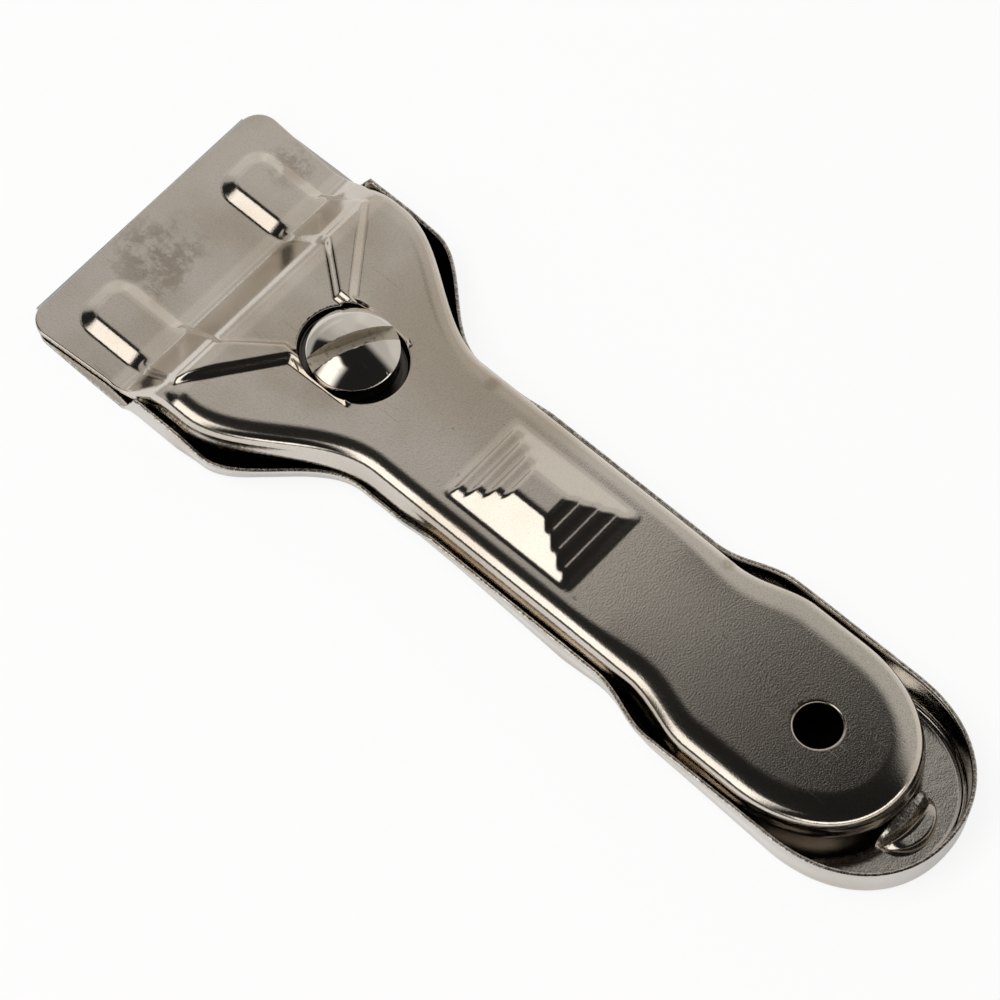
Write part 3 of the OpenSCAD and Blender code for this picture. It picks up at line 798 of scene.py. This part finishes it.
def makeCover():
    s = cover
    p, n, feet = outline(s)
    count, rows, arc, fall = len(p), s["rows"], s["softRows"] + s["bendRows"], s["wallRows"]
    jawLip = s["jawTop"] - s["jawDrop"]
    low = np.interp(p[:, 0], [s["jawLength"] + 0.2, s["jawLength"] + s["ramp"]], [jawLip, s["lip"]])
    rise = smooth((p[:, 0] - s["jawLength"]) / s["ramp"])
    grip = smooth((p[:, 0] - s["crownStart"]) / s["crownBlend"])
    size = s["jawRoll"] + (1 - s["jawRoll"]) * rise
    half = np.zeros((count, rows + arc + fall + 1, 3))
    offsets = np.zeros_like(half)
    offsets[:, :rows + 1, 2] = -s["sheet"]
    for i in range(count):
        soft = s["soft"] + (s["softGrip"] - s["soft"]) * grip[i]
        ends = crown(np.array([p[i] - n[i] * 4.1, p[i] - n[i] * 4.0]))  # how steep the crown is where it ends
        start = max(0.0, float(ends[1] - ends[0]) / 0.1)
        across, down, tilt = shoulderLine(soft * size[i], s["shoulder"] * size[i], start)
        flare = s["flare"] * rise[i]
        edge = p[i] - n[i] * (across[-1] + flare)
        foot = np.array([feet[i], 0.0])
        half[i, :rows + 1, :2] = foot + (edge - foot) * np.linspace(0.0, 1.0, rows + 1)[:, None]
        top = float(rampHeight(edge[:1])[0] - crown(edge[None])[0])
        # the sheet's inner side: straight down on the thin jaw, square to the wall elsewhere
        lean = tilt[1:] * rise[i]
        bend = slice(rows + 1, rows + 1 + arc)
        half[i, bend, :2] = edge + n[i] * across[1:, None]
        half[i, bend, 2] = top - down[1:]
        offsets[i, bend, :2] = -n[i] * np.sin(lean)[:, None] * s["sheet"]
        offsets[i, bend, 2] = -np.cos(lean) * s["sheet"]
        t = (np.arange(fall) + 1) / fall
        foldEnd = top - down[-1]
        half[i, rows + 1 + arc:, :2] = edge + n[i] * (across[-1] + flare * smooth(t))[:, None]
        half[i, rows + 1 + arc:, 2] = foldEnd + (min(low[i], foldEnd - 0.02) - foldEnd) * t
        offsets[i, rows + 1 + arc:] = offsets[i, rows + arc]
        offsets[i, rows + 1:, 2] += (1 - rise[i]) * (top - half[i, rows + 1:, 2])
    flat = half[:, :rows + 1, :2].reshape(-1, 2)
    z = rampHeight(flat[:, 0]) - crown(flat) + thumbHeight(flat) + ribHeight(flat)
    half[:, :rows + 1, 2] = z.reshape(count, rows + 1)
    half, offsets = mirrored(half, offsets)
    quads = closedQuads(count, half.shape[1], feet >= s["pole"] - 1e-6)
    points, offsets = half.reshape(-1, 3), offsets.reshape(-1, 3)
    rings, hole = openUp(points, faceRings(quads), roundField(s["pole"], s["hole"] + s["holeLip"], 0.0))
    rings, edge = openUp(points, rings, roundField(seat["place"], seat["radius"], seat["stretch"]))
    flat = points[list(edge), :2]
    points[list(edge), 2] = rampHeight(flat[:, 0]) + ribHeight(flat)
    loop = next(item for item in edgeLoops(rings) if item[0] in hole)
    points[loop, 2] = rampHeight(points[loop, 0]) - crown(points[loop])
    points, offsets, rings = addHoleLip(points, offsets, rings, loop)
    loop = next(item for item in edgeLoops(rings) if item[0] in edge)
    plain = len(rings) + 2 * len(loop)  # the two rings of the seat's lip keep the plating
    points, offsets, rings = addSeat(points, offsets, rings, loop)
    # the seat's faces take the painted shade material
    mesh = sheetMesh("coverShell", points, offsets, rings, seatShadeFrom=plain)
    looks = [plating("coverPlating", coverFinish), shearedEdge("coverEdge", coverFinish), paintedSeatShade("paintedSeatShade")]
    addPiece("coverShell", mesh, looks, "cover_body", "cover")


def channelHeight(p):
    depth = np.minimum(tray["channelWidth"] / 2 - np.abs(p[:, 1]),
                       tray["channelLength"] / 2 - np.abs(p[:, 0] - tray["channel"]))
    return tray["channelTop"] * smooth((depth / tray["channelBend"] + 1.0) / 2)


def catchMesh():
    # half-round tongue lanced out of the floor, high at its straight face and running out towards the tail
    c = catch
    u = np.linspace(0.0, 1.0, c["rows"] + 1)[:, None]
    v = np.linspace(-1.0, 1.0, c["across"] + 1)[None, :] * math.radians(c["sweep"])
    y = c["radius"] * np.sin(v) + 0 * u
    d = c["face"] + u * c["radius"] * np.cos(v)
    fall = (1 - (1 - c["apron"]) * smooth((u - c["crest"]) / c["slope"])
            - c["apron"] * smooth((u - c["end"]) / (1 - c["end"]))
            + c["apronRise"] * np.maximum(0.0, u - c["apronFrom"]))
    z = c["foot"] + c["height"] * np.sqrt(1 - np.abs(np.sin(v)) ** c["square"]) * fall
    points = np.stack([d, y, z], axis=2).reshape(-1, 3)
    offsets = np.tile([0.0, 0.0, -c["sheet"]], (len(points), 1))
    quads = gridQuads(np.arange(len(points)).reshape(z.shape))
    mesh = sheetMesh("catch", points, offsets, faceRings(quads), c["rim"])
    for face in mesh.polygons:  # the cover's lip has galled the crest
        if face.center.x > (noseX - c["face"] - c["worn"]) * mm:
            face.material_index = 1
    return mesh


def makeTray():
    s = tray
    p, n, feet = outline(s)
    count, rows, arc, rise = len(p), s["rows"], s["bendRows"], s["wallRows"]
    rim = np.interp(p[:, 0], s["rimAt"], s["rim"])
    square = np.clip(rim / s["squareRim"], 0, 1)  # along the jaw, where the rim is low, the sheet stays level
    r = np.minimum(s["belly"], rim * s["bellyShare"])
    lean = np.interp(p[:, 0], s["leanAt"], s["lean"]) * np.clip(rim / s["highRim"], 0, 1) ** 2
    half = np.zeros((count, rows + arc + rise + 1, 3))
    offsets = np.zeros_like(half)
    offsets[:, :rows + 1, 2] = s["sheet"]
    for i in range(count):
        edge = p[i] - n[i] * (r[i] + lean[i])
        foot = np.array([feet[i], 0.0])
        # the inner rows keep their distance from the middle, so that they run along the channel's sides
        share = s["channelRows"] / np.linalg.norm(edge - foot)
        t = np.interp(np.arange(rows + 1), [0, rows * 0.5, rows], [0.0, share, 1.0])
        half[i, :rows + 1, :2] = foot + (edge - foot) * t[:, None]
        a = math.pi / 2 * (np.arange(arc) + 1) / arc
        bend = slice(rows + 1, rows + 1 + arc)
        half[i, bend, :2] = edge + n[i] * (r[i] * np.sin(a))[:, None]
        half[i, bend, 2] = r[i] * (1 - np.cos(a))
        a = a * square[i]
        offsets[i, bend, :2] = -n[i] * np.sin(a)[:, None] * s["sheet"]
        offsets[i, bend, 2] = np.cos(a) * s["sheet"]
        t = (np.arange(rise) + 1) / rise
        half[i, rows + 1 + arc:, :2] = edge + n[i] * (r[i] + lean[i] * smooth(t * 1.1))[:, None]
        half[i, rows + 1 + arc:, 2] = r[i] + (rim[i] - r[i]) * t
        offsets[i, rows + 1 + arc:] = offsets[i, rows + arc] * (1 - s["thinned"] * t ** 3 * square[i])[:, None]
        offsets[i, rows + 1:, 2] -= (1 - square[i]) * half[i, rows + 1:, 2]
    flat = half[:, :rows + 1, :2].reshape(-1, 2)
    half[:, :rows + 1, 2] = channelHeight(flat).reshape(count, rows + 1)
    # inside, the floor climbs a little towards the tail
    climb = s["climb"] * np.maximum(0.0, half[:, :, 0] - s["climbStart"])
    offsets[:, :, 2] += climb * np.clip(s["climbTop"] - half[:, :, 2], 0.0, 1.0)
    half, offsets = mirrored(half, offsets)
    quads = closedQuads(count, half.shape[1], feet >= s["pole"] - 1e-6)
    points, offsets = half.reshape(-1, 3), offsets.reshape(-1, 3)
    openings = [roundField(s["channel"], s["slotRadius"], s["slot"]),
                halfRoundField(catch["face"] + catch["cutAhead"], catch["radius"] - catch["cutIn"])]
    openings += [roundField(s["stud"], s["studHole"], 0.0, side * ribs["span"] / 2) for side in (-1, 1)]
    rings = faceRings(quads)
    for opening in openings:
        rings, _ = openUp(points, rings, opening)
    mesh = sheetMesh("trayShell", points, offsets, rings)
    b = bmesh.new()
    b.from_mesh(mesh)
    b.from_mesh(catchMesh())
    b.to_mesh(mesh)
    b.free()
    mesh.set_sharp_from_angle(angle=math.radians(sharpAngle))
    looks = [plating("trayPlating", trayFinish), shearedEdge("trayEdge", trayFinish)]
    addPiece("trayShell", mesh, looks, "tray_body", "tray")


makeCover()
print("cover made")
makeTray()
print("tray made")


screw = {
    "head": 11.8, "side": 2.8, "dome": 2.3, "rimBevel": 0.12,
    "slotWidth": 2.1, "slotDepth": 2.5, "slotAngle": 65.0,
    "shank": 6.0, "point": 0.4, "pitch": 1.0, "thread": 0.28, "bevel": 0.07, "sides": 128, "domeRows": 26,
    "colour": (0.70, 0.665, 0.615), "warm": (0.63, 0.60, 0.55), "roughness": 0.05,
    "groove": (0.52, 0.465, 0.38), "grime": (0.12, 0.09, 0.06), "grooveRoughness": 0.42,
    "marks": [(20.0, 400.0, 0.50), (110.0, 420.0, 0.52)],
}


def polished(name):
    made, m = material(name)
    where = m.place()
    clouds = m.noise(where, 300.0, 3.0)
    marks = scratches(m, where, screw["marks"])
    colour = m.mix(clouds.step(0.4, 0.8), screw["colour"], screw["warm"])
    normal = m.bump(m.noise(where, 1100.0, 2.0) * 0.5 - marks, 0.4, 0.02)
    m.finish(colour, 1.0, screw["roughness"] + clouds * 0.06 + marks * 0.15, normal)
    return made


def slotted(name):
    # milled walls and floor of the driver slot, with grime in the corners
    made, m = material(name)
    where = m.place()
    lines = m.noise(m.stretched(where, (150.0, 2600.0, 2600.0), -screw["slotAngle"]), 1.0, 3.0)
    grime = m.noise(where, 1500.0, 3.0).step(0.52, 0.75)
    colour = m.mix(grime * 0.7, screw["groove"], screw["grime"])
    m.finish(colour, 0.55 + lines * 0.2, screw["grooveRoughness"] + lines * 0.15, m.bump(lines, 0.6, 0.04))
    return made


def screwLine(low, high):
    # half of the screw's section as (radius, height), from the shank's end to the top of the dome
    s, floor, radius, shank = screw, seat["floor"], screw["head"] / 2, screw["shank"] / 2
    ball = (radius ** 2 + s["dome"] ** 2) / (2 * s["dome"])
    reach = math.asin(radius / ball)
    line = [(0.0, low), (shank - s["point"], low), (shank - 0.05, low + 0.35)]
    z = low + 0.6
    while z + s["pitch"] < floor - 1.0:  # thread, cut inwards
        line += [(shank, z), (shank, z + s["pitch"] * 0.2), (shank - s["thread"], z + s["pitch"] * 0.55)]
        z += s["pitch"]
    line += [(shank, z), (shank, floor - 0.02), (radius - s["rimBevel"], floor),
             (radius, floor + s["rimBevel"]), (radius, floor + s["side"] - 0.05)]
    for i in range(s["domeRows"] + 1):
        a = reach * (1 - i / s["domeRows"])
        line.append((ball * math.sin(a), high - ball + ball * math.cos(a)))
    return line


def screwMesh(line):
    # the section turned round the screw's axis
    sides, axis = screw["sides"], noseX - seat["place"]
    b = bmesh.new()
    rows = []
    for r, z in line:
        if r < 1e-6:
            rows.append([b.verts.new((axis * mm, 0.0, z * mm))] * sides)
            continue
        turns = [2 * math.pi * i / sides for i in range(sides)]
        rows.append([b.verts.new(((axis + r * math.cos(a)) * mm, r * math.sin(a) * mm, z * mm))
                     for a in turns])
    for lower, upper in zip(rows, rows[1:]):
        for i in range(sides):
            ring = [lower[i], lower[(i + 1) % sides], upper[(i + 1) % sides], upper[i]]
            b.faces.new([v for k, v in enumerate(ring) if v not in ring[:k]])
    mesh = bpy.data.meshes.new("screwBody")
    b.to_mesh(mesh)
    b.free()
    tidyMesh(mesh, 30)
    return mesh


def slotCutter(mesh, high):
    # a bar as long as two heads and as wide as the driver slot, with the slot's steel on its faces
    s, a = screw, math.radians(screw["slotAngle"])
    u, v = Vector((math.cos(a), math.sin(a), 0)), Vector((-math.sin(a), math.cos(a), 0))
    middle = Vector((noseX - seat["place"], 0.0, 0.0))
    corners = [(middle + u * i * s["head"] + v * j * s["slotWidth"] / 2 + Vector((0, 0, k))) * mm
               for k in (high - s["slotDepth"], high + 1.0) for i, j in ((-1, -1), (1, -1), (1, 1), (-1, 1))]
    faces = [(3, 2, 1, 0), (4, 5, 6, 7)] + [(i, (i + 1) % 4, 4 + (i + 1) % 4, 4 + i) for i in range(4)]
    bar = bpy.data.meshes.new("slotCutter")
    bar.from_pydata(corners, [], faces)
    for item in mesh.materials:
        bar.materials.append(item)
    bar.polygons.foreach_set("material_index", [1] * len(faces))
    cutter = bpy.data.objects.new("slotCutter", bar)
    bpy.context.scene.collection.objects.link(cutter)
    return cutter


def makeScrew():
    (_, _, low), (_, _, high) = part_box("clamp_screw")
    mesh = screwMesh(screwLine(low / mm, high / mm))
    made = addPiece("screwBody", mesh, [polished("screwPolish"), slotted("slotSteel")],
                    "screw_body", "clamp_screw")
    cutter = slotCutter(mesh, high / mm)
    cut = made.modifiers.new("slot", "BOOLEAN")
    cut.operation, cut.object, cut.solver = "DIFFERENCE", cutter, "EXACT"
    soft = made.modifiers.new("soften", "BEVEL")
    soft.width, soft.segments = screw["bevel"] * mm, 2
    soft.limit_method, soft.angle_limit = "ANGLE", math.radians(40)
    soft.harden_normals = False
    bpy.context.view_layer.objects.active = made
    bpy.ops.object.modifier_apply(modifier="slot")
    bpy.ops.object.modifier_apply(modifier="soften")
    bar = cutter.data
    bpy.data.objects.remove(cutter)
    bpy.data.meshes.remove(bar)
    made.data.set_sharp_from_angle(angle=math.radians(35))


makeScrew()
print("screw made")


# steel of the parts that the shells hide
blade = {"dark": (0.50, 0.55, 0.61), "bright": (0.66, 0.69, 0.72), "roughness": 0.24,
         "grinding": (4000.0, 90.0, 4000.0)}
stud = {"colour": (0.56, 0.56, 0.56), "tint": (0.66, 0.65, 0.62), "spangle": 900.0}
nut = {"colour": (0.47, 0.475, 0.48), "tint": (0.60, 0.59, 0.54), "spangle": 700.0}


def bladeSteel(name):
    # ground strip steel: fine lines along the blade, bluish, brighter between them
    made, m = material(name)
    lines = m.noise(m.stretched(m.place(), blade["grinding"]), 1.0, 2.0)
    colour = m.mix(lines.step(0.35, 0.65), blade["dark"], blade["bright"])
    m.finish(colour, 1.0, blade["roughness"] + lines * 0.12, m.bump(lines, 0.4, 0.02))
    return made


def plainSteel(name, look):
    # zinc-plated steel: mottled spangle and fine grain
    made, m = material(name)
    where = m.place()
    mottle = m.node("ShaderNodeTexVoronoi", None, {"Vector": where, "Scale": look["spangle"]})
    grain = m.noise(where, 3500.0, 2.0)
    colour = m.mix(mottle * 0.9, look["colour"], look["tint"])
    m.finish(colour, 1.0, 0.28 + grain * 0.2, m.bump(grain, 0.5, 0.03))
    return made


for node, made in (("razor_blade", bladeSteel("bladeSteel")), ("blade_studs", plainSteel("studSteel", stud)),
                   ("clamp_nut", plainSteel("nutSteel", nut))):
    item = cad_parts[node]
    item.data.materials.clear()
    item.data.materials.append(made)
print("carried parts finished")

print("pieces done")
